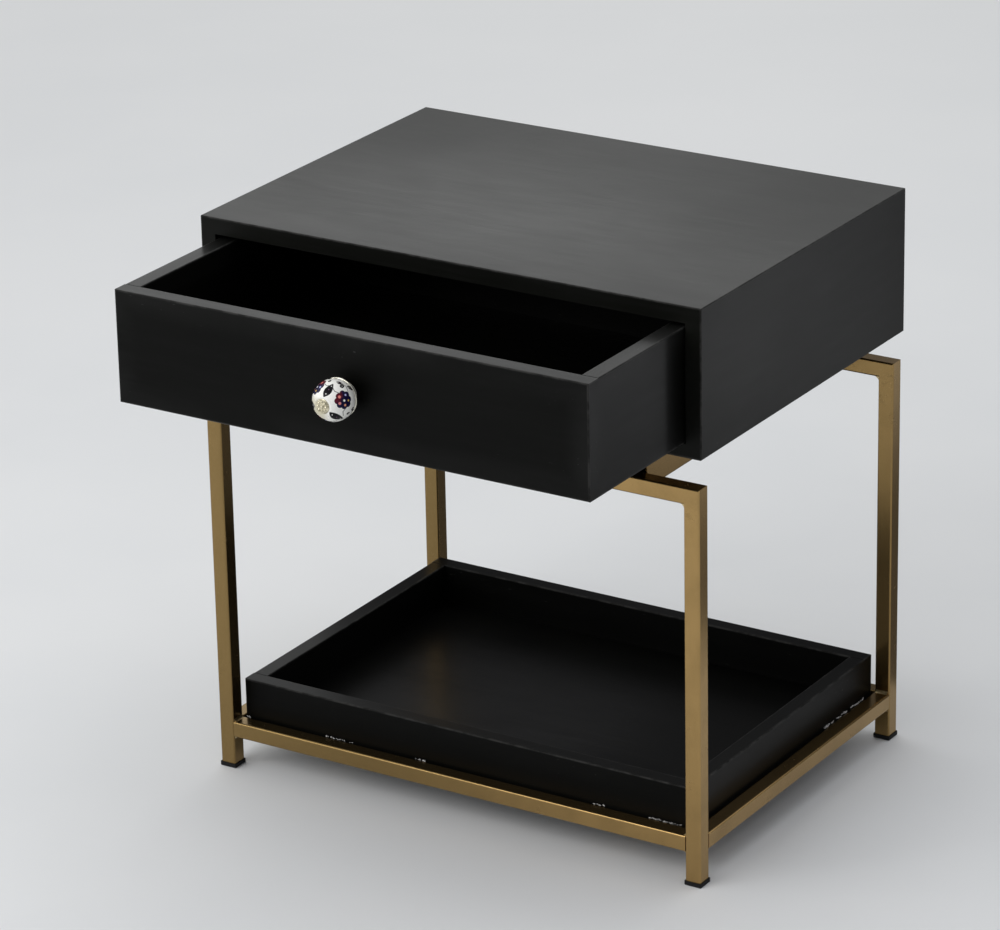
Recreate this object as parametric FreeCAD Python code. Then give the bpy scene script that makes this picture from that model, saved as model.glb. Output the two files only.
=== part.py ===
"""Side table with drawer: a square-tube steel frame carries a black wooden carcass with one open-topped
drawer, and a wooden tray nests between its bottom rails.

Millimetres. X runs along the width, -Y is the side the drawer opens to, +Z is up. The origin is on the
floor, in the middle of the table's outline with the drawer drawn out as it rests here.
"""
import FreeCAD, Part
import math
import os

V = FreeCAD.Vector

# ---- driving dimensions -------------------------------------------------------------------------
# carcass
WIDTH = 500.0            # over the sides
DEPTH = 360.0            # front face to back face
CARCASS_H = 133.0        # underside of the bottom board to the top face
CARCASS_Z = 391.0        # height of the carcass underside above the floor
BOARD = 15.0             # top and side boards
BOTTOM_BOARD = 12.0
BACK_BOARD = 9.0

# drawer
DRAWER_OPEN = 150.0      # how far the drawer stands out in the rest pose
DRAWER_L = 335.0
DRAWER_WALL = 16.0
DRAWER_SIDE_GAP = 2.0    # to each side board
DRAWER_RUN_GAP = 0.4     # over the bottom board
DRAWER_TOP_GAP = 4.0     # below the top board
DRAWER_FLOOR = 6.0
DRAWER_FLOOR_UP = 8.5    # lower edge of the drawer to its floor panel
GROOVE = 5.0             # depth of the floor panel's groove

# knob
KNOB_R = 17.9            # ceramic ball
KNOB_REACH = 36.2        # drawer front to the tip of the flower boss
KNOB_MID = 18.0          # drawer front to the middle of the ball
KNOB_SEAT = 3.0          # drawer front to the flat on the back of the ball
BOSS_H = 2.1             # flower boss

# steel frame
TUBE = 15.0              # square tube of the legs, rails and crossbars
TUBE_WALL = 1.2
TUBE_R = 1.6             # outer corner radius of the tube
FRAME_D = 360.0
FRAME_LEAD = 4.4         # how far the frame stands in front of the carcass
FRAME_TOP = 366.0        # top of the crossbars
RAIL_Z = 31.0            # underside of the bottom rails
BEARER_W = 20.0
BEARER_X = 191.7         # outer face of each bearer
FOOT_H = 4.0             # flange of the foot plug
FOOT_LIP = 0.8           # flange beyond the tube on each side

# tray shelf
TRAY_W = 465.0
TRAY_D = 326.0
TRAY_H = 50.0
TRAY_BOARD = 15.0
TRAY_BASE = 12.0
TAB_T = 2.0              # thickness of the welded tabs that carry the tray
TAB_X = 150.0
TAB_W = 24.0
TAB_L = 32.0

EASE = 1.0               # softened arrises of the wood
DOWEL_FIT = 0.05         # glue gap around a dowel
SCREW_R = 2.0

# ---- places that follow from them ----------------------------------------------------------------
FRONT = (DRAWER_OPEN + KNOB_REACH - DEPTH) / 2       # carcass front face
BACK = FRONT + DEPTH
HALF = WIDTH / 2
CARCASS_TOP = CARCASS_Z + CARCASS_H
BAY_X = HALF - BOARD
BAY_Z0 = CARCASS_Z + BOTTOM_BOARD
BAY_Z1 = CARCASS_TOP - BOARD
BAY_BACK = BACK - BACK_BOARD

DRAWER_X = BAY_X - DRAWER_SIDE_GAP
DRAWER_Z0 = BAY_Z0 + DRAWER_RUN_GAP
DRAWER_Z1 = BAY_Z1 - DRAWER_TOP_GAP
DRAWER_Y0 = FRONT - DRAWER_OPEN
DRAWER_Y1 = DRAWER_Y0 + DRAWER_L
DRAWER_MID = (DRAWER_Z0 + DRAWER_Z1) / 2
FLOOR_Z = DRAWER_Z0 + DRAWER_FLOOR_UP

FRAME_Y0 = FRONT - FRAME_LEAD
FRAME_Y1 = FRAME_Y0 + FRAME_D
FRAME_MID = (FRAME_Y0 + FRAME_Y1) / 2
BEARER_X0 = BEARER_X - BEARER_W

TRAY_Z = RAIL_Z + TAB_T
TRAY_X = TRAY_W / 2
TRAY_Y0 = FRAME_MID - TRAY_D / 2
TRAY_Y1 = FRAME_MID + TRAY_D / 2


# ---- small helpers -------------------------------------------------------------------------------
def block(x0, x1, y0, y1, z0, z1):
    """Plain box between two corners."""
    return Part.makeBox(x1 - x0, y1 - y0, z1 - z0, V(x0, y0, z0))


def rod(radius, start, direction, length):
    return Part.makeCylinder(radius, length, start, direction)


def mirror_x(shape):
    return shape.mirror(V(0, 0, 0), V(1, 0, 0))


def eased(shape, wanted, radius=EASE):
    """Rounds the edges whose middle point satisfies wanted(x, y, z)."""
    picked = []
    for edge in shape.Edges:
        middle = edge.valueAt((edge.FirstParameter + edge.LastParameter) / 2)
        if wanted(middle.x, middle.y, middle.z):
            picked.append(edge)
    return shape.makeFillet(radius, picked)


def close(a, b):
    return abs(a - b) < 1e-6


def square_ring(w, h, wall, radius):
    """Face of a square tube's section in the XY plane, centred, with rounded outer and inner corners."""
    def outline(a, b, r):
        flat = Part.makeBox(a, b, 1, V(-a / 2, -b / 2, 0))
        posts = [e for e in flat.Edges if abs(e.Vertexes[0].Z - e.Vertexes[1].Z) > 0.5]
        return flat.makeFillet(r, posts)
    ring = outline(w, h, radius).cut(outline(w - 2 * wall, h - 2 * wall, radius - wall))
    return [f for f in ring.Faces if close(f.CenterOfMass.z, 0)][0]


def tube(w, h, start, end, wall=TUBE_WALL, radius=TUBE_R):
    """Straight tube of section w by h from start to end, the points being on its centre line.

    For a tube along X or Y, w is its horizontal and h its vertical size.
    """
    run = end - start
    section = square_ring(w, h, wall, radius)
    if abs(run.z) < 1e-6:
        section.rotate(V(0, 0, 0), V(1, 0, 0), 90)
        if abs(run.y) < 1e-6:
            section.rotate(V(0, 0, 0), V(0, 0, 1), 90)
    section.translate(start)
    return section.extrude(run)


def under_mitre(side):
    """Everything of a leg that lies below the 45 degree joint with the crossbar, on one side of the table."""
    x_out, x_in = side * (HALF + 5), side * (HALF - TUBE - 5)
    z_out, z_in = FRAME_TOP + 5, FRAME_TOP - TUBE - 5
    corners = [V(x_out, -500, -10), V(x_out, -500, z_out), V(x_in, -500, z_in), V(x_in, -500, -10)]
    return Part.Face(Part.makePolygon(corners + corners[:1])).extrude(V(0, 1000, 0))


def bead(corner, along_a, along_b, leg, run):
    """Weld fillet in the angle between directions a and b, hollow-faced, swept along run."""
    a, b = corner + along_a * leg, corner + along_b * leg
    dip = corner + (along_a + along_b) * (leg * 0.36)
    section = Part.Wire([Part.makeLine(corner, a), Part.Arc(a, dip, b).toShape(), Part.makeLine(b, corner)])
    return Part.Face(section).extrude(run)


def wood_screw(tip_length, head_under):
    """Pan-head screw pointing up; head_under is the centre of the seat under its head."""
    head = Part.makeCylinder(4.0, 2.2, head_under - V(0, 0, 2.2))
    head = eased(head, lambda x, y, z: close(z, head_under.z - 2.2), 1.0)
    slot = block(-5, 5, -0.5, 0.5, -1, 1)
    slot.translate(head_under - V(0, 0, 2.2 + 0.1))
    shank = Part.makeCylinder(SCREW_R, tip_length - 3, head_under)
    point = Part.makeCone(SCREW_R, 0.3, 3, head_under + V(0, 0, tip_length - 3))
    return head.cut(slot).fuse([shank, point]).removeSplitter()


def spun(profile, centre):
    """Solid of revolution about the knob's axis; profile is (radius, distance out from the drawer)."""
    points = [V(r, 0, t) for r, t in profile]
    solid = Part.Face(Part.makePolygon(points + points[:1])).revolve(V(0, 0, 0), V(0, 0, 1), 360)
    solid.rotate(V(0, 0, 0), V(1, 0, 0), 90)
    solid.translate(centre)
    return solid


nodes = {}

# ---- steel frame ---------------------------------------------------------------------------------
mitre_left, mitre_right = under_mitre(-1), under_mitre(1)
leg_centres = {
    "leg_front_left": (-HALF + TUBE / 2, FRAME_Y0 + TUBE / 2),
    "leg_front_right": (HALF - TUBE / 2, FRAME_Y0 + TUBE / 2),
    "leg_rear_left": (-HALF + TUBE / 2, FRAME_Y1 - TUBE / 2),
    "leg_rear_right": (HALF - TUBE / 2, FRAME_Y1 - TUBE / 2),
}
for name, (x, y) in leg_centres.items():
    leg = tube(TUBE, TUBE, V(x, y, FOOT_H), V(x, y, FRAME_TOP + 2))
    nodes[name] = leg.common(mitre_left if x < 0 else mitre_right)

# crossbars span the leg tops and share the mitre planes
for name, y in (("crossbar_front", FRAME_Y0 + TUBE / 2), ("crossbar_rear", FRAME_Y1 - TUBE / 2)):
    bar = tube(TUBE, TUBE, V(-HALF, y, FRAME_TOP - TUBE / 2), V(HALF, y, FRAME_TOP - TUBE / 2))
    nodes[name] = bar.cut(mitre_left).cut(mitre_right)

# bottom rails butt between the legs
rail_z = RAIL_Z + TUBE / 2
rail_x = HALF - TUBE
for name, y in (("rail_front", FRAME_Y0 + TUBE / 2), ("rail_rear", FRAME_Y1 - TUBE / 2)):
    nodes[name] = tube(TUBE, TUBE, V(-rail_x, y, rail_z), V(rail_x, y, rail_z))
for name, x in (("rail_left", -HALF + TUBE / 2), ("rail_right", HALF - TUBE / 2)):
    nodes[name] = tube(TUBE, TUBE, V(x, FRAME_Y0 + TUBE, rail_z), V(x, FRAME_Y1 - TUBE, rail_z))

# bearers run front to back between the crossbars and hold the carcass clear of them
bearer_h = CARCASS_Z - (FRAME_TOP - TUBE)
bearer_z = CARCASS_Z - bearer_h / 2
bearer_mid = BEARER_X - BEARER_W / 2
bearer_screw_y = [FRAME_MID - 110, FRAME_MID + 110]
bearer = tube(BEARER_W, bearer_h, V(bearer_mid, FRAME_Y0 + TUBE, bearer_z),
              V(bearer_mid, FRAME_Y1 - TUBE, bearer_z))
for y in bearer_screw_y:
    bearer = bearer.cut(rod(5.5, V(bearer_mid, y, FRAME_TOP - TUBE - 1), V(0, 0, 1), 5))
    bearer = bearer.cut(rod(SCREW_R + 0.2, V(bearer_mid, y, CARCASS_Z - 5), V(0, 0, 1), 10))
nodes["bearer_right"] = bearer
nodes["bearer_left"] = mirror_x(bearer)

# weld fillets in the inner angles of the frame
UP, RIGHT, AWAY = V(0, 0, 1), V(1, 0, 0), V(0, 1, 0)
flat = TUBE - 2 * TUBE_R
beads = []
for side in (-1, 1):
    inward = RIGHT * -side
    face_x = side * (HALF - TUBE)
    for y0, into in ((FRAME_Y0, AWAY), (FRAME_Y1, -AWAY)):
        low_y = min(y0, y0 + into.y * TUBE) + TUBE_R
        beads.append(bead(V(face_x, low_y, FRAME_TOP - TUBE), inward, -UP, 4.5, AWAY * flat))
        for z, way in ((RAIL_Z + TUBE, UP), (RAIL_Z, -UP)):
            beads.append(bead(V(face_x, low_y, z), inward, way, 2.4, AWAY * flat))
            low_x = min(face_x, side * HALF) + TUBE_R
            beads.append(bead(V(low_x, y0 + into.y * TUBE, z), into, way, 2.4, RIGHT * flat))
        for x, way in ((side * BEARER_X, RIGHT * side), (side * BEARER_X0, RIGHT * -side)):
            start = V(x, y0 + into.y * TUBE, FRAME_TOP - TUBE + TUBE_R)
            beads.append(bead(start, into, way, 2.4, UP * flat))
nodes["weld_beads"] = Part.makeCompound(beads)

# plastic foot plugs: a flange on the floor and a stub pushed up into the leg
bore = TUBE - 2 * TUBE_WALL
plugs = []
for x, y in leg_centres.values():
    out = TUBE / 2 + FOOT_LIP
    flange = eased(block(x - out, x + out, y - out, y + out, 0, FOOT_H), lambda a, b, c: c < FOOT_H - 0.01, 0.9)
    half = bore / 2 - 0.15
    stub = block(x - half, x + half, y - half, y + half, FOOT_H, FOOT_H + 12)
    stub = eased(stub, lambda a, b, c: c > FOOT_H + 0.01, 0.8)
    plugs.append(flange.fuse(stub).removeSplitter())
nodes["foot_plugs"] = Part.makeCompound(plugs)

# flat tabs welded to the front and rear rails carry the tray; screws come up through them
tabs, tray_screws, tray_holes = [], [], []
for x in (-TAB_X, TAB_X):
    for y0, into in ((FRAME_Y0 + TUBE, 1), (FRAME_Y1 - TUBE, -1)):
        y1 = y0 + into * TAB_L
        tab = block(x - TAB_W / 2, x + TAB_W / 2, min(y0, y1), max(y0, y1), RAIL_Z, TRAY_Z)
        tab = eased(tab, lambda a, b, c: close(c, RAIL_Z + TAB_T / 2) and close(b, y1), 4.0)
        y = y0 + into * (TAB_L - 8)
        tabs.append(tab.cut(rod(SCREW_R + 0.2, V(x, y, RAIL_Z - 1), UP, 5)))
        tray_screws.append(wood_screw(TAB_T + 9, V(x, y, RAIL_Z)))
        tray_holes.append(rod(SCREW_R + DOWEL_FIT, V(x, y, TRAY_Z - 1), UP, 11))
nodes["tray_tabs"] = Part.makeCompound(tabs)
nodes["tray_screws"] = Part.makeCompound(tray_screws)

# ---- tray shelf ----------------------------------------------------------------------------------
TRAY_TOP = TRAY_Z + TRAY_H


def tray_long_wall(y0, y1, outer):
    """Front or rear wall, full width, arrises softened except where the base meets it."""
    wall = block(-TRAY_X, TRAY_X, y0, y1, TRAY_Z, TRAY_TOP)

    def soft(x, y, z):
        return close(z, TRAY_TOP) and close(x, 0) or close(y, outer)
    return eased(wall, soft)


nodes["tray_wall_front"] = tray_long_wall(TRAY_Y0, TRAY_Y0 + TRAY_BOARD, TRAY_Y0)
nodes["tray_wall_rear"] = tray_long_wall(TRAY_Y1 - TRAY_BOARD, TRAY_Y1, TRAY_Y1)
side_wall = block(TRAY_X - TRAY_BOARD, TRAY_X, TRAY_Y0 + TRAY_BOARD, TRAY_Y1 - TRAY_BOARD, TRAY_Z, TRAY_TOP)
side_wall = eased(side_wall, lambda x, y, z: close(y, FRAME_MID) and (z > TRAY_Z + 1 or close(x, TRAY_X)))
nodes["tray_wall_right"] = side_wall
nodes["tray_wall_left"] = mirror_x(side_wall)
tray_in_x = TRAY_X - TRAY_BOARD
tray_base = block(-tray_in_x, tray_in_x, TRAY_Y0 + TRAY_BOARD, TRAY_Y1 - TRAY_BOARD, TRAY_Z, TRAY_Z + TRAY_BASE)
nodes["tray_base"] = tray_base.cut(tray_holes)

# ---- carcass -------------------------------------------------------------------------------------
top = block(-HALF, HALF, FRONT, BACK, BAY_Z1, CARCASS_TOP)
top = eased(top, lambda x, y, z: z > BAY_Z1 + 1)
side = block(BAY_X, HALF, FRONT, BACK, CARCASS_Z, BAY_Z1)
side = eased(side, lambda x, y, z: close(x, HALF) and z < BAY_Z1 - 1)
bottom = block(-BAY_X, BAY_X, FRONT, BACK, CARCASS_Z, BAY_Z0)
back = block(-BAY_X, BAY_X, BAY_BACK, BACK, BAY_Z0, BAY_Z1)

# dowels: upright ones tie the top to the sides, level ones tie the bottom board between the sides
dowel_ys = [FRONT + 40, (FRONT + BACK) / 2, BACK - 40]
carcass_dowels, carcass_bores = [], []
for x_sign in (-1, 1):
    for y in dowel_ys:
        upright = V(x_sign * (HALF - BOARD / 2), y, BAY_Z1 - 18)
        level = V(x_sign * (BAY_X - 16), y, CARCASS_Z + BOTTOM_BOARD / 2)
        carcass_dowels.append(rod(4, upright, UP, 28))
        carcass_bores.append(rod(4 + DOWEL_FIT, upright - UP * 0.5, UP, 29))
        carcass_dowels.append(rod(3, level, RIGHT * x_sign, 26))
        carcass_bores.append(rod(3 + DOWEL_FIT, level - RIGHT * x_sign * 0.5, RIGHT * x_sign, 27))
nodes["carcass_dowels"] = Part.makeCompound(carcass_dowels)

# screws stand inside the bearers and run up into the bottom board
bearer_screws, bottom_holes = [], []
for x in (-bearer_mid, bearer_mid):
    for y in bearer_screw_y:
        bearer_screws.append(wood_screw(TUBE_WALL + 9, V(x, y, CARCASS_Z - TUBE_WALL)))
        bottom_holes.append(rod(SCREW_R + DOWEL_FIT, V(x, y, CARCASS_Z - 1), UP, 10.5))
nodes["carcass_screws"] = Part.makeCompound(bearer_screws)

nodes["carcass_top"] = top.cut(carcass_bores)
nodes["carcass_side_right"] = side.cut(carcass_bores)
nodes["carcass_side_left"] = mirror_x(side).cut(carcass_bores)
nodes["carcass_bottom"] = bottom.cut(carcass_bores + bottom_holes)
nodes["carcass_back"] = back

# stop blocks at the back of the bay meet the drawer when its front is flush
stop_y = FRONT + DRAWER_L + 0.5
stops = [block(x - 20, x + 20, stop_y, BAY_BACK, BAY_Z0, BAY_Z0 + 30) for x in (-160, 160)]
nodes["drawer_stops"] = Part.makeCompound([eased(s, lambda x, y, z: z > BAY_Z0 + 29, 1.5) for s in stops])

# ---- drawer --------------------------------------------------------------------------------------
in_x = DRAWER_X - DRAWER_WALL
in_y0, in_y1 = DRAWER_Y0 + DRAWER_WALL, DRAWER_Y1 - DRAWER_WALL
front = block(-DRAWER_X, DRAWER_X, DRAWER_Y0, in_y0, DRAWER_Z0, DRAWER_Z1)
front = eased(front, lambda x, y, z: close(y, DRAWER_Y0) or close(x, 0) and close(z, DRAWER_Z1))
drawer_side = block(in_x, DRAWER_X, in_y0, DRAWER_Y1, DRAWER_Z0, DRAWER_Z1)
side_mid = (in_y0 + DRAWER_Y1) / 2
drawer_side = eased(drawer_side, lambda x, y, z: close(y, side_mid) and close(z, DRAWER_Z1))
rear = block(-in_x, in_x, in_y1, DRAWER_Y1, DRAWER_Z0, DRAWER_Z1)
rear = eased(rear, lambda x, y, z: close(x, 0) and close(z, DRAWER_Z1))

# the floor panel sits in a groove all round
tongue = GROOVE - 0.3
floor_panel = block(-in_x - tongue, in_x + tongue, in_y0 - tongue, in_y1 + tongue, FLOOR_Z, FLOOR_Z + DRAWER_FLOOR)
groove = block(-in_x - GROOVE, in_x + GROOVE, in_y0 - GROOVE, in_y1 + GROOVE,
               FLOOR_Z - 0.1, FLOOR_Z + DRAWER_FLOOR + 0.1)

drawer_dowels, drawer_bores = [], []
for x_sign in (-1, 1):
    for dz in (-38, 2, 38):
        start = V(x_sign * (in_x + DRAWER_WALL / 2), in_y0 - 10, DRAWER_MID + dz)
        drawer_dowels.append(rod(3, start, AWAY, 28))
        drawer_bores.append(rod(3 + DOWEL_FIT, start - AWAY * 0.5, AWAY, 29))
    for dz in (-4, 34):
        start = V(x_sign * (in_x - 18), (in_y1 + DRAWER_Y1) / 2, DRAWER_MID + dz)
        drawer_dowels.append(rod(3, start, RIGHT * x_sign, 28))
        drawer_bores.append(rod(3 + DOWEL_FIT, start - RIGHT * x_sign * 0.5, RIGHT * x_sign, 29))
nodes["drawer_dowels"] = Part.makeCompound(drawer_dowels)

knob_base = V(0, DRAWER_Y0, DRAWER_MID)
bolt_way = SCREW_R + 0.3
bolt_hole = rod(bolt_way, knob_base - AWAY, AWAY, DRAWER_WALL + 2)
nodes["drawer_front"] = front.cut([groove, bolt_hole] + drawer_bores)
nodes["drawer_side_right"] = drawer_side.cut([groove] + drawer_bores)
nodes["drawer_side_left"] = mirror_x(drawer_side).cut([groove] + drawer_bores)
nodes["drawer_back"] = rear.cut([groove] + drawer_bores)
nodes["drawer_floor"] = floor_panel

# ---- knob ----------------------------------------------------------------------------------------
ball_mid = knob_base - AWAY * KNOB_MID
ball_front = KNOB_REACH - BOSS_H       # flat under the boss, measured from the drawer
ball = Part.makeSphere(KNOB_R, ball_mid)
keep = block(-30, 30, knob_base.y - ball_front, knob_base.y - KNOB_SEAT, DRAWER_MID - 30, DRAWER_MID + 30)
ball = ball.common(keep).cut(rod(bolt_way, knob_base, -AWAY, 60))
nodes["knob_ball"] = ball

# metal cup behind the ball: foot, neck, a bowl that hugs the ball and a rounded rim
cup = spun([(bolt_way, 0), (10.6, 0), (10.9, 0.5), (10.5, 1.4), (10.3, 2.0), (11.2, 2.9), (13.2, 4.8),
            (14.7, 6.6), (15.9, 8.2), (16.7, 8.7), (17.1, 9.2), (17.1, 9.7), (16.9, 10.1), (16.5, 10.3),
            (bolt_way, 10.3)], knob_base)
seat = Part.makeSphere(KNOB_R + 0.02, ball_mid).common(
    block(-30, 30, knob_base.y - 30, knob_base.y - KNOB_SEAT, DRAWER_MID - 30, DRAWER_MID + 30))
nodes["knob_collar"] = cup.cut(seat)

# the bolt's head seats on the ball's flat front, under the boss
nodes["knob_bolt"] = spun([(0, ball_front + 1.0), (3.2, ball_front + 1.0), (3.2, ball_front),
                           (SCREW_R, ball_front), (SCREW_R, -DRAWER_WALL - 6.5),
                           (SCREW_R - 0.6, -DRAWER_WALL - 7.1), (0, -DRAWER_WALL - 7.1)], knob_base)
nodes["knob_washer"] = spun([(SCREW_R + 0.1, -DRAWER_WALL), (5, -DRAWER_WALL), (5, -DRAWER_WALL - 1),
                             (SCREW_R + 0.1, -DRAWER_WALL - 1)], knob_base)
nut_back = knob_base + AWAY * (DRAWER_WALL + 1)
hexagon = [V(4.05 * math.cos(i * math.pi / 3), 0, 4.05 * math.sin(i * math.pi / 3)) for i in range(7)]
nut = Part.Face(Part.makePolygon([nut_back + p for p in hexagon])).extrude(AWAY * 3.2)
nodes["knob_nut"] = nut.cut(rod(SCREW_R + 0.02, nut_back - AWAY, AWAY, 6))

# flower boss: a shallow domed disc, eight petals and a bead in the middle
boss_back = knob_base - AWAY * ball_front
boss = spun([(0, 0), (6.4, 0), (6.4, 0.5), (5.9, 0.9), (4.2, 1.25), (0, 1.5)], boss_back)
petals = []
for i in range(8):
    angle = i * math.pi / 4
    at = boss_back + V(3.9 * math.cos(angle), -0.75, 3.9 * math.sin(angle))
    petals.append(Part.makeSphere(1.35, at))
middle = Part.makeSphere(1.8, boss_back - AWAY * 0.8)
boss = boss.fuse(petals + [middle]).removeSplitter()
boss = boss.common(block(-9, 9, knob_base.y - KNOB_REACH, boss_back.y, DRAWER_MID - 9, DRAWER_MID + 9))
nodes["knob_flower"] = boss.cut(rod(3.25, boss_back + AWAY, -AWAY, 2.05))

# ---- one STEP file per piece ---------------------------------------------------------------------
os.makedirs("parts", exist_ok=True)
for name, shape in nodes.items():
    if not shape.isValid():
        raise ValueError(name + " is not a valid shape")
    shape.exportStep("parts/" + name + ".step")
    print(name, len(shape.Solids), round(shape.Volume / 1000, 2), "cm3")
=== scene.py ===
"""Looks of the side table with drawer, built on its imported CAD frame. Metres, +Z up, the drawer opens to -Y."""
import math

import bpy
import numpy as np
from mathutils import Matrix, Vector


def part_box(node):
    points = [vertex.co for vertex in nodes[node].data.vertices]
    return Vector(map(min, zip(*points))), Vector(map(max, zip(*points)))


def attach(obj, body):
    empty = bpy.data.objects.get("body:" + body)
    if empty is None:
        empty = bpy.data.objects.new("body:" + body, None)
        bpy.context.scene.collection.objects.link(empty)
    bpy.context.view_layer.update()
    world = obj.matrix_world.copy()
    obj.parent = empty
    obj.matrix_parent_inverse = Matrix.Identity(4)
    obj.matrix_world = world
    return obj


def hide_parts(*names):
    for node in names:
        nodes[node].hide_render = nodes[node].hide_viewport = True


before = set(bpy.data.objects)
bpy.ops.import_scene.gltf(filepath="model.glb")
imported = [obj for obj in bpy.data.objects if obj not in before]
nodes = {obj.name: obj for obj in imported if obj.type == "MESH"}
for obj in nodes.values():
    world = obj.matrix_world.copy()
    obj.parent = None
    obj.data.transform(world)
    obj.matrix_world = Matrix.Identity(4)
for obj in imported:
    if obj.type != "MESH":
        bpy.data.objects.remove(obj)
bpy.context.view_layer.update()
MM = 0.001


# ---- shader maths --------------------------------------------------------------------------------
class Flow:
    """A number or a colour that varies over a surface; Python operators on a number add Math nodes."""

    def __init__(self, paint, socket):
        self.paint, self.socket = paint, socket

    def calc(self, operation, *others):
        return self.paint.add("ShaderNodeMath", {"operation": operation}, dict(enumerate((self, *others))))

    def __add__(self, o): return self.calc("ADD", o)
    def __radd__(self, o): return self + o
    def __sub__(self, o): return self.calc("SUBTRACT", o)
    def __rsub__(self, o): return (self * -1.0) + o
    def __mul__(self, o): return self.calc("MULTIPLY", o)
    def __rmul__(self, o): return self * o
    def __truediv__(self, o): return self.calc("DIVIDE", o)
    def __pow__(self, o): return self.calc("POWER", o)
    def __abs__(self): return self.calc("ABSOLUTE")
    def least(self, o): return self.calc("MINIMUM", o)
    def most(self, o): return self.calc("MAXIMUM", o)
    def cosine(self): return self.calc("COSINE")

    def beyond(self, low, high):
        """How far it is outside the span from low to high; negative inside."""
        return abs(self - (low + high) / 2) - (high - low) / 2

    def step(self, low, high):
        """0 below low, 1 above high, smooth between; low may be above high."""
        return self.paint.add("ShaderNodeMapRange", {"interpolation_type": "SMOOTHSTEP"},
                              {"Value": self, "From Min": low, "From Max": high, "To Min": 0.0, "To Max": 1.0})


class Paint:
    """One finish: a shader in the tree of a new material, or of a world, whose sockets take numbers or flows."""

    def __init__(self, name, owner=None, shader="Principled BSDF"):
        self.owner = owner or bpy.data.materials.new(name)
        self.owner.use_nodes = True
        self.tree = self.owner.node_tree
        self.shader = self.tree.nodes[shader]

    def feed(self, node, values):
        for key, value in values.items():
            socket = node.inputs[key]
            if isinstance(value, Flow):
                self.tree.links.new(value.socket, socket)
            else:
                socket.default_value = (*value, 1.0) if socket.type == "RGBA" else value

    def add(self, kind, settings=None, values=None, out=0):
        """Adds a node with its settings first, then its values or links, and returns one output as a flow."""
        node = self.tree.nodes.new(kind)
        for key, value in (settings or {}).items():
            setattr(node, key, value)
        self.feed(node, values or {})
        return Flow(self, node.outputs[out])

    def place(self, stretch=(1, 1, 1), shift=(0, 0, 0)):
        """Object coordinates, scaled and then moved."""
        at = self.add("ShaderNodeTexCoord", out="Object")
        return self.add("ShaderNodeMapping", None, {"Vector": at, "Scale": stretch, "Location": shift})

    def axes(self):
        """The three object coordinates."""
        split = self.add("ShaderNodeSeparateXYZ", None, {0: self.add("ShaderNodeTexCoord", out="Object")})
        return [Flow(self, socket) for socket in split.socket.node.outputs]

    def noise(self, scale, detail=3.0, rough=0.5, warp=0.0, **place):
        return self.add("ShaderNodeTexNoise", None, {"Vector": self.place(**place), "Scale": scale,
                                                     "Detail": detail, "Roughness": rough, "Distortion": warp})

    def cells(self, scale):
        return self.add("ShaderNodeTexVoronoi", None, {"Vector": self.place(), "Scale": scale}, out="Distance")

    def edge_on(self, low, high):
        """0 where the surface faces the eye, 1 where it is seen edge on, smooth between; only for gloss."""
        return self.add("ShaderNodeLayerWeight", None, {"Blend": 0.5}, out="Facing").step(low, high)

    def blend(self, share, first, second):
        """Colour that goes from first to second as share goes from 0 to 1."""
        return self.add("ShaderNodeMix", {"data_type": "RGBA"}, {0: share, 6: first, 7: second}, out=2)

    def relief(self, height, strength, distance, **under):
        """Bump of a height; Normal may name the bump that it lies on."""
        return self.add("ShaderNodeBump", None,
                        {"Height": height, "Strength": strength, "Distance": distance, **under}, out="Normal")

    def finish(self, **values):
        self.feed(self.shader, values)
        return self.owner


def grained(grain, along, across):
    """Stretch of a pattern: one scale along the grain's axis, another on the two axes across it."""
    return [along if i == grain else across for i in range(3)]


def darker(colour, share):
    return tuple(c * share for c in colour)


def coat(member, material):
    nodes[member].data.materials.clear()
    nodes[member].data.materials.append(material)


def spans(member):
    """Size of a node along each axis."""
    low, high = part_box(member)
    return high - low


def corner_box(members):
    """Lowest and highest corner of the box round several nodes."""
    lows, highs = zip(*(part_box(n) for n in members))
    return [min(p[i] for p in lows) for i in range(3)], [max(p[i] for p in highs) for i in range(3)]


def well_between(left, right, front, rear):
    """Span in X and span in Y of the well that four walls enclose."""
    return (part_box(left)[1].x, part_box(right)[0].x), (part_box(front)[1].y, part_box(rear)[0].y)


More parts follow.
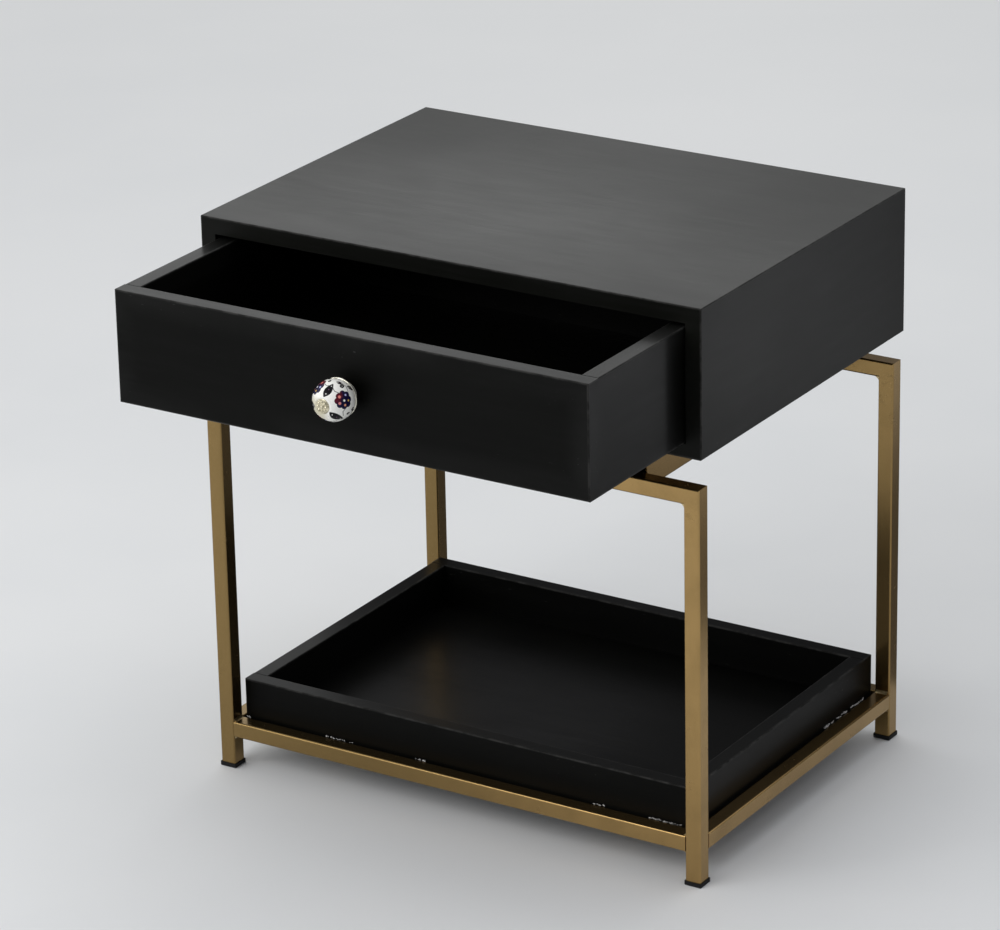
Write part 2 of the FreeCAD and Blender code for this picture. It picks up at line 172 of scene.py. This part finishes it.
# ---- satin black paint on wood -------------------------------------------------------------------
def black_paint(name, low, high, well, grain, lacquer):
    """Satin black lacquer on an open box of boards, with brush marks along the grain and edges rubbed thin.

    The distance to an outer edge of the box is the middle one of the three distances to its faces. The distance
    to an edge of the well is the larger of the depth below the rim and the distance to the well's wall.

    The clear coat shows where a board is seen edge on. It is wiped unevenly, duller towards the back and the
    sides, and more polished in a worn oval in the middle. lacquer holds the coat's sheen and softness, how much
    of that polish there is, the depth of the black tones, whose darker settings for the drawer and the tray
    are painted shade, and the haze of handling near the outer edges.
    """
    p = Paint(name)
    x, y, z = axis = p.axes()
    a, b, c = [(h - l) / 2 - abs(at - (h + l) / 2) for at, l, h in zip(axis, low, high)]
    outer = a.least(b).most(a.most(b).least(c))
    edge = outer
    if well:
        wall = x.beyond(*well[0]).most(y.beyond(*well[1]))
        edge = outer.least(abs(wall).most(abs(z - high[2])))

    streaks = p.noise(9.0, 5.0, 0.62, stretch=grained(grain, 1.6, 26.0))
    fine = p.noise(52.0, 3.0, 0.6, stretch=grained(grain, 1.6, 26.0))
    clouds = p.noise(5.5, 4.0, 0.55, 0.6)
    smears = p.noise(15.0, 4.0, 0.62, 0.8, shift=(3.0, 1.0, 7.0), stretch=grained(grain, 0.35, 1.0))
    specks = p.cells(420.0).step(0.10, 0.05) * p.noise(38.0, 2.0, shift=(9.0, 2.0, 5.0)).step(0.60, 0.70)

    ticks = p.noise(1.0, 2.0, 0.5, shift=(5.0, 3.0, 8.0), stretch=grained(grain, 160.0, 700.0))
    scratched = ticks.step(0.70, 0.76) * outer.step(34 * MM, 4 * MM) * smears.step(0.48, 0.66)
    ragged = p.noise(70.0, 4.0, 0.7, shift=(1.0, 4.0, 2.0))
    rubbed = edge.step(2.1 * MM, 0.3 * MM) * (ragged.step(0.38, 0.62) * 0.75 + 0.25)
    chipped = edge.step(1.2 * MM, 0.2 * MM) * p.noise(160.0, 3.0, 0.7).step(0.66, 0.72)
    handled = outer.step(26 * MM, 3 * MM) * smears.step(0.25, 0.75)

    # The shell's depth darkens the black tones; the drawer's and the tray's darker tones are painted shade.
    tone = p.blend(clouds.step(0.3, 0.7), darker((0.0044, 0.0047, 0.0035), lacquer["depth"]),
                   darker((0.0074, 0.0078, 0.0060), lacquer["depth"]))
    tone = p.blend(streaks.step(0.42, 0.78) * 0.5, tone, darker((0.0120, 0.0119, 0.0110), lacquer["depth"]))
    tone = p.blend(handled * lacquer["haze"], tone, (0.020, 0.020, 0.0195))
    tone = p.blend(rubbed * 0.75, tone, (0.044, 0.043, 0.041))
    tone = p.blend(specks * 0.4, tone, (0.10, 0.10, 0.098))
    tone = p.blend(scratched * 0.5, tone, (0.13, 0.13, 0.125))
    tone = p.blend(chipped * 0.5, tone, (0.09, 0.08, 0.065))
    roughness = 0.36 + clouds * 0.07 + smears.step(0.35, 0.75) * 0.06 + streaks * 0.07 + rubbed * 0.06
    body = p.relief(streaks, 0.10, 0.25 * MM)
    skin = p.relief(fine + smears * 0.4, 0.10, 0.12 * MM, Normal=body)

    duller = y.step(-0.08, 0.30) * 0.42 + abs(x + 0.02).step(0.02, 0.26) * 0.20
    worn_middle = ((x + 0.05) / 0.17) ** 2.0 + ((y - 0.07) / 0.11) ** 2.0
    polished = worn_middle.step(1.6, 0.1) * lacquer["polish"]
    wiped = (smears.step(0.30, 0.68) * 0.20 + clouds.step(0.32, 0.66) * 0.16
             + streaks.step(0.35, 0.7) * 0.16 + 0.74)
    varnish = p.edge_on(0.26, 0.80) * wiped * (1 - duller) * (1 + polished) * lacquer["sheen"]
    p.feed(p.shader, {"Specular IOR Level": 0.07, "Coat Roughness": lacquer["softness"], "Coat IOR": 1.5})
    return p.finish(**{"Base Color": tone, "Roughness": roughness, "Coat Weight": varnish, "Normal": skin})


CARCASS = ["carcass_top", "carcass_side_left", "carcass_side_right", "carcass_bottom", "carcass_back",
           "drawer_stops"]
DRAWER = ["drawer_front", "drawer_side_left", "drawer_side_right", "drawer_back", "drawer_floor"]
TRAY_WALLS = ["tray_wall_front", "tray_wall_rear", "tray_wall_left", "tray_wall_right"]
# depth sets how dark each shell's black is; the lower values of the drawer and the tray are painted shade.
shells = {
    "carcass": (CARCASS, None, dict(sheen=0.59, softness=0.18, polish=0.132, depth=0.66, haze=0.05)),
    "drawer": (DRAWER, well_between("drawer_side_left", "drawer_side_right", "drawer_front", "drawer_back"),
               dict(sheen=0.60, softness=0.18, polish=1.1, depth=0.30, haze=0.32)),
    "tray": (TRAY_WALLS + ["tray_base"],
             well_between("tray_wall_left", "tray_wall_right", "tray_wall_front", "tray_wall_rear"),
             dict(sheen=0.44, softness=0.27, polish=1.1, depth=0.20, haze=0.10)),
}
for shell, (boards, well, lacquer) in shells.items():
    low, high = corner_box(boards)
    along_x, along_y = (black_paint(f"{shell}_black_along_{letter}", low, high, well, i, lacquer)
                        for i, letter in enumerate("xy"))
    for board in boards:
        coat(board, along_x if spans(board).x > spans(board).y else along_y)


# ---- metal: antique gold paint and plated fittings -----------------------------------------------
def gold_paint(name, grain):
    """Metallic gold paint, sprayed: fine flake, a slow drift of tone, an orange-peel skin and a few rubs.

    The tone is lighter towards the right front leg: painted light on that leg.
    """
    p = Paint(name)
    x, y, _ = p.axes()
    # Painted light: the tone lightens towards the right front leg.
    painted_light_front_right = (x * 0.8 - y * 0.5).step(-0.05, 0.22)
    drift = p.noise(2.2, 3.0, 0.5, stretch=grained(grain, 1.0, 7.0))
    cloud = p.noise(24.0, 4.0, 0.6, 0.4)
    flake = p.noise(900.0, 2.0, 0.6)
    peel = p.noise(260.0, 2.0, 0.5, shift=(2.0, 5.0, 1.0))
    rub = p.noise(48.0, 5.0, 0.7, 0.3, shift=(4.0, 8.0, 3.0)).step(0.62, 0.74)
    tone = p.blend(drift.step(0.3, 0.7), (0.235, 0.156, 0.060), (0.265, 0.176, 0.070))
    tone = p.blend(painted_light_front_right * 0.85, tone, (0.440, 0.284, 0.112))
    tone = p.blend(cloud.step(0.35, 0.8) * 0.4, tone, (0.215, 0.140, 0.054))
    tone = p.blend(flake.step(0.55, 0.72) * 0.25, tone, (0.54, 0.39, 0.19))
    tone = p.blend(rub * 0.35, tone, (0.20, 0.14, 0.065))
    return p.finish(**{"Base Color": tone, "Metallic": 0.97,
                       "Roughness": 0.20 + cloud * 0.07 + rub * 0.10 + flake * 0.04,
                       "Normal": p.relief(peel + cloud * 0.6, 0.10, 0.10 * MM)})


def worn_metal(name, light, dark, rough, scale, rings=None):
    """Plated metal with tarnish. rings is (start, pitch): grooves turned across Y, dark at start and every pitch
    from it, where the cosine of the way from start, a full turn for each pitch, is near 1."""
    p = Paint(name)
    tarnish = p.noise(scale, 4.0, 0.65, 0.5)
    grit = p.noise(scale * 7, 3.0, 0.6, shift=(2.0, 6.0, 4.0))
    tone = p.blend(tarnish.step(0.35, 0.68), light, dark)
    tone = p.blend(grit.step(0.60, 0.75) * 0.4, tone, darker(dark, 0.5))
    if rings:
        start, pitch = rings
        wave = ((p.axes()[1] - start) * (2 * math.pi / pitch)).cosine()
        tone = p.blend(wave.step(0.25, 0.80), tone, (0.035, 0.033, 0.030))
    return p.finish(**{"Base Color": tone, "Metallic": 0.95, "Roughness": rough + tarnish * 0.16,
                       "Normal": p.relief(grit, 0.12, 0.05 * MM)})


gold_x, gold_y, gold_z = (gold_paint("gold_paint_" + letter, i) for i, letter in enumerate("xyz"))
for member in [n for n in nodes if n.startswith(("leg_", "crossbar_", "rail_", "bearer_"))] + ["tray_tabs"]:
    upright = member.startswith("leg_")
    coat(member, gold_z if upright else gold_x if spans(member).x > spans(member).y else gold_y)
# Painted highlight: the weld beads are a much lighter gold than the paint, for the glints on them.
coat("weld_beads", worn_metal("weld_gold", (0.62, 0.50, 0.28), (0.40, 0.29, 0.13), 0.22, 240.0))


# ---- small fittings ------------------------------------------------------------------------------
def plain_wood(name):
    """Bare beech with fine pale and dark pores."""
    p = Paint(name)
    pores = p.noise(900.0, 4.0, 0.6)
    tone = p.blend(pores, (0.42, 0.29, 0.17), (0.62, 0.46, 0.29))
    return p.finish(**{"Base Color": tone, "Roughness": 0.6 + pores * 0.2,
                       "Normal": p.relief(pores, 0.2, 0.1 * MM)})


def moulded_rubber(name):
    """Black moulded foot: matt, dusty towards the floor, with scuffs."""
    p = Paint(name)
    dust = p.noise(190.0, 4.0, 0.7)
    near_floor = p.axes()[2].step(3.2 * MM, 0.2 * MM)
    tone = p.blend(dust.step(0.45, 0.75) * (near_floor * 0.5 + 0.1), (0.003, 0.003, 0.004), (0.030, 0.030, 0.033))
    p.feed(p.shader, {"Specular IOR Level": 0.25})
    return p.finish(**{"Base Color": tone, "Roughness": 0.55 + dust * 0.25,
                       "Normal": p.relief(dust, 0.35, 0.15 * MM)})


CUP_NECK, CUP_PITCH = 2.0 * MM, 6.2 * MM        # the dark neck from the drawer, and from it to the next groove
zinc = worn_metal("zinc_plate", (0.58, 0.58, 0.57), (0.36, 0.37, 0.38), 0.30, 260.0)
beech = plain_wood("beech")
coat("knob_collar", worn_metal("pewter", (0.74, 0.71, 0.62), (0.46, 0.44, 0.37), 0.16, 320.0,
                               rings=(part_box("knob_collar")[1].y - CUP_NECK, CUP_PITCH)))
coat("knob_flower", worn_metal("soft_pewter", (0.78, 0.72, 0.54), (0.34, 0.31, 0.21), 0.22, 330.0))
coat("foot_plugs", moulded_rubber("foot_rubber"))
for member in ("knob_bolt", "knob_washer", "knob_nut", "tray_screws", "carcass_screws"):
    coat(member, zinc)
for member in ("carcass_dowels", "drawer_dowels"):
    coat(member, beech)


# ---- the painted knob ----------------------------------------------------------------------------
ball_low, ball_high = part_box("knob_ball")
STAND_OFF = 18.0 * MM                           # the ball's middle in front of the drawer's face
BALL_R = (ball_high.z - ball_low.z) / 2
BALL_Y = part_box("drawer_front")[0].y - STAND_OFF
BALL_Z = (ball_high.z + ball_low.z) / 2
FLAT_FRONT, FLAT_BACK = ball_low.y, ball_high.y
BORE_R = 2.3 * MM
MOUTH_R, MOUTH_DEPTH = BORE_R * 1.15, 0.25 * MM  # the bore's mouth widens to this radius over this depth


def knob_profile(count):
    """Radius and distance along the axis, round a turned ball with a flat front, a flat back and a bore. On the
    ball the radius goes with the sine of the angle from the front, the distance with its cosine."""
    angle = np.linspace(math.acos((BALL_Y - FLAT_FRONT) / BALL_R), math.acos((BALL_Y - FLAT_BACK) / BALL_R), count)
    ball_r, ball_y = BALL_R * np.sin(angle), BALL_Y - BALL_R * np.cos(angle)
    over_front = np.linspace(0, 1, 9)[1:-1]
    front_r = np.concatenate([[BORE_R, MOUTH_R], MOUTH_R + (ball_r[0] - MOUTH_R) * over_front])
    front_y = np.concatenate([[FLAT_FRONT + MOUTH_DEPTH], np.full(8, FLAT_FRONT)])
    front_y[-1] += 0.03 * MM
    back_r = np.array([ball_r[-1] * 0.8, MOUTH_R, BORE_R])
    back_y = np.array([FLAT_BACK, FLAT_BACK, FLAT_BACK - MOUTH_DEPTH])
    bore_r, bore_y = np.full(6, BORE_R), np.linspace(FLAT_BACK - 2 * MM, FLAT_FRONT + 2 * MM, 6)
    return np.concatenate([front_r, ball_r, back_r, bore_r]), np.concatenate([front_y, ball_y, back_y, bore_y])


def knob_direction(polar, azimuth):
    """Unit vector at a polar angle from the knob's face and an azimuth from +X towards +Z, in degrees."""
    t, a = np.radians(polar), np.radians(azimuth)
    return np.array([np.sin(t) * np.cos(a), -np.cos(t), np.sin(t) * np.sin(a)])


def smooth(x, low, high):
    """0 below low, 1 above high, smooth between; low may be above high."""
    t = np.clip((x - low) / (high - low), 0, 1)
    return t * t * (3 - 2 * t)


FACE = knob_direction(0, 0)


class Brush:
    """Paints enamel, and painted shade, on the glazed ball. Distances are in millimetres over the ball."""

    def __init__(self, directions, seed):
        self.way = directions
        self.rng = np.random.default_rng(seed)
        self.colour = np.empty_like(directions)
        self.colour[:] = (0.90, 0.89, 0.84)

    def away(self, centre):
        """Distance from centre: the ball's radius times the angle between the two directions."""
        return np.arccos(np.clip(self.way @ centre, -1, 1)) * BALL_R / MM

    def spread(self, centre):
        """Distance from centre and angle round it, with the angle counted from the way to the knob's face."""
        up = FACE - centre * (FACE @ centre)
        up /= np.linalg.norm(up)
        side = np.cross(centre, up)
        return self.away(centre), np.arctan2(self.way @ side, self.way @ up)

    def lay(self, cover, tone):
        self.colour += cover[:, None] * (np.array(tone) - self.colour)

    def dot(self, polar, azimuth, size, tone):
        self.lay(smooth(self.away(knob_direction(polar, azimuth)), size + 0.14, size - 0.14), tone)

    def spot(self, centre, out, angle, size, tone):
        """Dot at a distance out and an angle round a flower's or a leaf's centre, by the law of cosines."""
        rho, theta = self.spread(centre)
        off = np.sqrt(np.maximum(rho ** 2 + out ** 2 - 2 * rho * out * np.cos(theta - angle), 0))
        self.lay(smooth(off, size + 0.14, size - 0.14), tone)

    def flower(self, polar, azimuth, size, tilt, warm):
        """Eight-lobed bloom: the outline's radius swells with the cosine of four times the angle, folded.

        The petals round the angle called warm are red, and the dots start there.
        """
        centre = knob_direction(polar, azimuth)
        rho, theta = self.spread(centre)
        lobes = theta + tilt
        edge = size * (0.85 + 0.17 * np.abs(np.cos(4 * lobes)) ** 0.7 + 0.03 * np.sin(3 * lobes + azimuth))
        inside = smooth(rho, edge + 0.12, edge - 0.12)
        self.lay(inside, (0.006, 0.004, 0.034))
        red = smooth(np.cos(theta - warm), 0.45, 0.85) * smooth(rho, 0.20 * size, 0.5 * size)
        self.lay(inside * red * 0.85, (0.110, 0.008, 0.012))
        vein = smooth(np.abs(np.sin(4 * lobes)), 0.16, 0.02) * smooth(rho, 0.45 * size, 0.7 * size)
        self.lay(inside * vein * 0.25, (0.05, 0.05, 0.16))
        dots = ((1.25, (0.80, 0.24, 0.20)), (1.2, (0.76, 0.26, 0.26)), (1.0, (0.80, 0.34, 0.20)),
                (0.85, (0.74, 0.46, 0.12)), (0.9, (0.52, 0.52, 0.86)))
        for k, (dot_size, tone) in enumerate(dots):
            angle = warm - 0.15 + k * 1.23 + self.rng.uniform(-0.08, 0.08)
            self.spot(centre, 0.58 * size, angle, dot_size, tone)
        self.spot(centre, 0.08 * size, warm + 2.6, 0.95, (0.92, 0.91, 0.88))

    def leaf(self, azimuth, near, far, width, lean):
        """Pointed leaf between two polar angles: its half width is a sine bow of the way along it, and its middle
        line bends by half the square of that way. Three small dots lie along it."""
        centre = knob_direction((near + far) / 2, azimuth)
        rho, theta = self.spread(centre)
        theta = theta + lean
        length = math.radians(far - near) * BALL_R / MM / 2
        along, across = rho * np.cos(theta) / length, rho * np.sin(theta)
        bow = np.where(np.abs(along) < 1, np.cos(along * math.pi / 2) ** 0.8 * width * (1 + 0.25 * along), -1)
        self.lay(smooth(bow - np.abs(across + 0.5 * along ** 2), -0.12, 0.14), (0.004, 0.004, 0.005))
        for out, size, tone in ((0.55, 0.50, (0.82, 0.80, 0.76)), (-0.58, 0.48, (0.80, 0.78, 0.76)),
                                (-0.05, 0.34, (0.30, 0.14, 0.26))):
            self.spot(centre, abs(out) * length, -lean + (0 if out > 0 else math.pi), size, tone)

    def bud(self, polar, azimuth, size):
        """Oval that swells towards the knob's face and away from it by the square of the angle's cosine."""
        rho, theta = self.spread(knob_direction(polar, azimuth))
        edge = size * (0.85 + 0.3 * np.cos(theta) ** 2)
        self.lay(smooth(rho, edge + 0.15, edge - 0.15), (0.005, 0.005, 0.007))
        self.dot(polar, azimuth, 0.42, (0.80, 0.79, 0.74))

    def stem(self, stops):
        """Thin line through points on the ball; each is (polar, azimuth), joined by short chords."""
        ends = np.array([knob_direction(*s) for s in stops])
        t = np.linspace(0, len(ends) - 1, 14 * (len(ends) - 1) + 1)
        k = np.minimum(t.astype(int), len(ends) - 2)
        path = ends[k] * (1 - (t - k))[:, None] + ends[k + 1] * (t - k)[:, None]
        path /= np.linalg.norm(path, axis=1)[:, None]
        nearest = np.max(self.way @ path.T, axis=1)
        gap = np.arccos(np.clip(nearest, -1, 1)) * BALL_R / MM
        self.lay(smooth(gap, 0.46, 0.20) * 0.9, (0.012, 0.014, 0.014))


def paint_ball(directions):
    """Colour of the ball in each direction: a darker, warm tone low on the left, which is painted shade, three
    blooms with their stems, leaves and buds between them, and small leaves round the back."""
    brush = Brush(directions, seed=7)
    # Painted shade: the ball darkens to a warm beige low on the left.
    brush.lay(smooth(directions @ knob_direction(34, 215), 0.66, 0.98) * 0.85, (0.50, 0.46, 0.31))
    for azimuth, tilt, warm in ((20, 0.2, -0.8), (128, -0.4, 2.4), (249, 0.5, 0.6)):
        brush.stem([(64, azimuth + 20), (56, azimuth + 38), (62, azimuth + 52)])
        brush.stem([(70, azimuth - 22), (60, azimuth - 36), (66, azimuth - 52)])
        brush.stem([(88, azimuth + 14), (95, azimuth + 30), (90, azimuth + 44)])
        brush.flower(65, azimuth, 7.8, tilt, warm)
    for azimuth, near, far, lean in ((77, 27, 73, 0.05), (190, 27, 72, -0.1), (318, 24, 74, 0.12)):
        brush.leaf(azimuth, near, far, 3.4, lean)
        brush.bud(84, azimuth - 21, 2.0)
        brush.bud(80, azimuth + 17, 1.5)
        brush.leaf(azimuth - 10, 78, 98, 1.9, 1.2)
        brush.bud(96, azimuth + 26, 1.7)
    for polar, azimuth in ((112, 40), (108, 95), (115, 150), (110, 205), (112, 262), (108, 330)):
        brush.leaf(azimuth, polar - 16, polar + 14, 2.1, 0.5)
    return brush.colour


def painted_glaze(name):
    """White glaze, faintly mottled and crackled under clear coat; enamel and painted shade come from attribute
    paint.
    """
    p = Paint(name)
    enamel = p.add("ShaderNodeVertexColor", {"layer_name": "paint"}, out="Color")
    mottle = p.noise(420.0, 3.0, 0.6)
    crackle = p.noise(90.0, 2.0, 0.5, shift=(1.0, 3.0, 2.0))
    p.feed(p.shader, {"Specular IOR Level": 0.08, "Coat Roughness": 0.03, "Coat IOR": 1.4})
    return p.finish(**{"Base Color": p.blend(mottle.step(0.5, 0.8) * 0.02, enamel, (0.52, 0.49, 0.42)),
                       "Roughness": 0.16 + mottle * 0.10, "Coat Weight": p.edge_on(0.2, 0.9) * 0.5 + 0.10,
                       "Normal": p.relief(crackle + mottle * 0.3, 0.10, 0.12 * MM)})


def closed_surface(name, points, body, material, colour):
    """Mesh of a grid of points, rows by columns, whose last row and column join the first ones."""
    rows, cols = points.shape[:2]
    i, j = np.arange(rows)[:, None], np.arange(cols)[None, :]
    up, over = (i + 1) % rows, (j + 1) % cols
    faces = np.stack([i * cols + j, i * cols + over, up * cols + over, up * cols + j], axis=-1).reshape(-1, 4)
    mesh = bpy.data.meshes.new(name)
    mesh.from_pydata(points.reshape(-1, 3).tolist(), [], faces.tolist())
    layer = mesh.color_attributes.new("paint", "FLOAT_COLOR", "POINT")
    opaque = np.concatenate([colour.reshape(-1, 3), np.ones((rows * cols, 1))], axis=1)
    layer.data.foreach_set("color", opaque.astype(np.float32).ravel())
    mesh.polygons.foreach_set("use_smooth", np.ones(len(faces), bool))
    mesh.materials.append(material)
    piece = bpy.data.objects.new(name, mesh)
    bpy.context.scene.collection.objects.link(piece)
    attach(piece, body)
    return piece


radius, distance = knob_profile(150)
turn = np.linspace(0, 2 * math.pi, 360, endpoint=False)
ball = np.stack([radius[:, None] * np.cos(turn), np.repeat(distance[:, None], len(turn), 1),
                 BALL_Z + radius[:, None] * np.sin(turn)], axis=-1)
directions = ball.reshape(-1, 3) - np.array([0, BALL_Y, BALL_Z])
directions /= np.linalg.norm(directions, axis=1)[:, None]
enamel_and_shade_colour = paint_ball(directions).reshape(ball.shape)
painted = closed_surface("painted_knob_ball", ball[:, ::-1], "drawer", painted_glaze("painted_glaze"),
                         enamel_and_shade_colour[:, ::-1])
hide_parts("knob_ball")


# ---- dried glue along the tray's foot ------------------------------------------------------------
RINGS, TURNS = 6, 11                            # rings of points between a crumb's poles, points round a ring


def crumb_points(rng, span_x, span_y, along_x, foot):
    """One jagged crumb: a ball surface over two angles, its radius broken by three sine waves with random phases,
    stretched along the joint, leaning along it, sunk a little in the height foot. Its two poles come last."""
    theta = np.linspace(0, math.pi, RINGS + 2)[:, None]
    phi = np.linspace(0, 2 * math.pi, TURNS, endpoint=False)[None, :]
    wobble = 1 + sum(0.26 * np.sin(k * phi + rng.uniform(0, 6)) * np.sin((k - 1) * theta + rng.uniform(0, 6))
                     for k in (2, 3, 5))
    length, width = rng.uniform(0.25, 1.25) * MM, rng.uniform(0.2, 0.6) * MM
    height = rng.uniform(0.15, 0.8) * MM
    x, y, lean = rng.uniform(*span_x), rng.uniform(*span_y), rng.uniform(-0.7, 0.7)
    u, v = np.sin(theta) * np.cos(phi) * wobble, np.sin(theta) * np.sin(phi) * wobble
    w = 0.8 + np.cos(theta) + lean * (u if along_x else v)
    half_x, half_y = (length, width) if along_x else (width, length)
    grid = np.stack([x + u * half_x, y + v * half_y, foot + height * w], axis=-1)
    return np.concatenate([grid[1:-1].reshape(-1, 3), grid[[0, -1], 0]])


def crumb_faces():
    """Quads between a crumb's rings and a fan of triangles round each of its poles."""
    first, here = np.arange(RINGS - 1)[:, None] * TURNS, np.arange(TURNS)
    beside, last, pole = (here + 1) % TURNS, (RINGS - 1) * TURNS, RINGS * TURNS
    quads = np.stack([first + here, first + here + TURNS, first + beside + TURNS, first + beside], axis=-1)
    top = np.stack([np.full(TURNS, pole), here, beside], axis=-1)
    foot = np.stack([np.full(TURNS, pole + 1), last + beside, last + here], axis=-1)
    return quads.reshape(-1, 4), top, foot


def glue_flakes(places, foot, seed):
    """Crumbs strewn over places; each is (span in X, span in Y, whether the joint runs along X, how many)."""
    rng = np.random.default_rng(seed)
    points, faces, pattern = [], [], crumb_faces()
    for span_x, span_y, along_x, count in places:
        for _ in range(count):
            for part in pattern:
                faces += (part + len(points)).tolist()
            points += crumb_points(rng, span_x, span_y, along_x, foot).tolist()
    mesh = bpy.data.meshes.new("glue_flakes")
    mesh.from_pydata(points, [], faces)
    chalk = Paint("dried_glue")
    grit = chalk.noise(900.0, 3.0, 0.7)
    mesh.materials.append(chalk.finish(**{
        "Base Color": chalk.blend(grit.step(0.4, 0.7), (0.62, 0.61, 0.60), (0.26, 0.25, 0.25)),
        "Roughness": 0.5 + grit * 0.3, "Normal": chalk.relief(grit, 0.5, 0.2 * MM)}))
    flakes = bpy.data.objects.new("glue_flakes", mesh)
    bpy.context.scene.collection.objects.link(flakes)
    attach(flakes, "table")


tray_low, tray_high = corner_box(TRAY_WALLS)
front_y = (tray_low[1] - 2.0 * MM, tray_low[1] - 0.7 * MM)
right_x = (tray_high[0] + 0.5 * MM, tray_high[0] + 2.2 * MM)
glue_flakes([((-0.145, -0.116), front_y, True, 14), ((-0.050, -0.038), front_y, True, 8),
             ((0.134, 0.147), front_y, True, 7), ((0.190, 0.222), front_y, True, 26),
             ((-0.232, -0.226), front_y, True, 6), (right_x, (0.158, 0.180), False, 22),
             (right_x, (0.184, 0.204), False, 17), (right_x, (0.210, 0.236), False, 20)],
            foot=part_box("rail_front")[1].z, seed=11)


# ---- camera --------------------------------------------------------------------------------------
EYE = (2.05423, -3.22867, 1.81996)
AZIMUTH, ELEVATION, TILT = 32.497, 21.542, -1.174       # degrees; azimuth 0 looks along +Y
LENS, SENSOR = 169.86, 36.0


def look(azimuth, elevation, tilt):
    """Camera turned to look along an azimuth and down an elevation, then tilted about its own line of sight."""
    a, e, t = (math.radians(v) for v in (azimuth, elevation, tilt))
    ahead = Vector((-math.sin(a) * math.cos(e), math.cos(a) * math.cos(e), -math.sin(e)))
    right = Vector((math.cos(a), math.sin(a), 0))
    up = right.cross(ahead)
    right, up = right * math.cos(t) + up * math.sin(t), up * math.cos(t) - right * math.sin(t)
    return Matrix((right, up, -ahead)).transposed().to_4x4()


camera = bpy.data.objects.new("camera", bpy.data.cameras.new("camera"))
bpy.context.scene.collection.objects.link(camera)
camera.data.lens, camera.data.sensor_width = LENS, SENSOR
camera.data.clip_start, camera.data.clip_end = 0.1, 60.0
camera.matrix_world = Matrix.Translation(EYE) @ look(AZIMUTH, ELEVATION, TILT)
bpy.context.scene.camera = camera


# ---- light, floor and stage card -----------------------------------------------------------------
def panel_light(name, place, aim, size, watts):
    lamp = bpy.data.lights.new(name, "AREA")
    lamp.shape, lamp.size, lamp.size_y, lamp.energy = "RECTANGLE", size[0], size[1], watts
    holder = bpy.data.objects.new(name, lamp)
    bpy.context.scene.collection.objects.link(holder)
    holder.location = place
    holder.rotation_euler = (Vector(aim) - Vector(place)).to_track_quat("-Z", "Y").to_euler()
    holder.visible_camera = False


panel_light("key_panel", (-2.2, -2.0, 1.1), (0, 0, 0.35), (1.6, 1.4), 14)
panel_light("top_panel", (0.2, 0.6, 3.2), (0, 0, 0.3), (2.6, 2.6), 18)
panel_light("front_panel", (-0.9, -2.6, 2.2), (-0.3, -0.3, 0.1), (2.0, 1.6), 30)

world = bpy.data.worlds.new("studio")
bpy.context.scene.world = world
sky = Paint("studio", world, "Background")
sky_x, sky_y, sky_z = sky.axes()
sky.finish(Color=sky.blend((sky_x * 0.8 - sky_y * 0.35 + sky_z * 0.1).step(-0.9, 0.9),
                           (0.94, 0.95, 0.945), (0.38, 0.39, 0.415)))


def pale_floor(name):
    """Pale floor with a slow drift of tone, painted light far behind and painted shade towards the right."""
    p = Paint(name)
    x, y, _ = p.axes()
    tone = p.blend(p.noise(2.0, 4.0).step(0.3, 0.7), (0.74, 0.75, 0.76), (0.78, 0.785, 0.79))
    # Painted light: paler far behind.
    tone = p.blend(y.step(0.4, 3.5) * 0.8, tone, (0.92, 0.92, 0.91))
    # Painted shade: a little darker towards the right.
    tone = p.blend((x * 0.8 + y * 0.5).step(0.1, 2.2), tone, (0.62, 0.635, 0.65))
    return p.finish(**{"Base Color": tone, "Roughness": 0.8})


def card_grey(name):
    """Even glow for reflections: dark grey low down, grey higher up, pale towards the upper right."""
    p = Paint(name)
    p.feed(p.shader, {"Base Color": (0.0, 0.0, 0.0), "Specular IOR Level": 0.0, "Emission Strength": 1.0})
    x, _, z = p.axes()
    tone = p.blend(z.step(0.1, 0.5), (0.13, 0.13, 0.135), (0.24, 0.24, 0.245))
    open_side = x.step(0.22, 0.34) * (z + (x - 0.3) * 0.4).step(0.18, 0.36)
    return p.finish(**{"Emission Color": p.blend(open_side, tone, (0.72, 0.73, 0.75))})


def sheet(name, corners, material):
    mesh = bpy.data.meshes.new(name)
    mesh.from_pydata(corners, [], [(0, 1, 2, 3)])
    mesh.materials.append(material)
    piece = bpy.data.objects.new(name, mesh)
    bpy.context.scene.collection.objects.link(piece)
    return piece


REACH = 14.0                                    # half the floor's width
floor = sheet("floor", [(-REACH, -REACH, 0), (REACH, -REACH, 0), (REACH, REACH, 0), (-REACH, REACH, 0)],
              pale_floor("pale_floor"))
CARD_LEFT, CARD_RIGHT, CARD_Y, CARD_FOOT, CARD_TOP = -0.45, 1.3, 0.36, 0.004, 0.50
card = sheet("shade_card", [(CARD_LEFT, CARD_Y, CARD_FOOT), (CARD_RIGHT, CARD_Y, CARD_FOOT),
                            (CARD_RIGHT, CARD_Y, CARD_TOP), (CARD_LEFT, CARD_Y, CARD_TOP)],
             card_grey("card_grey"))
card.visible_camera = card.visible_diffuse = card.visible_shadow = False

bpy.context.scene.view_settings.view_transform = "Standard"
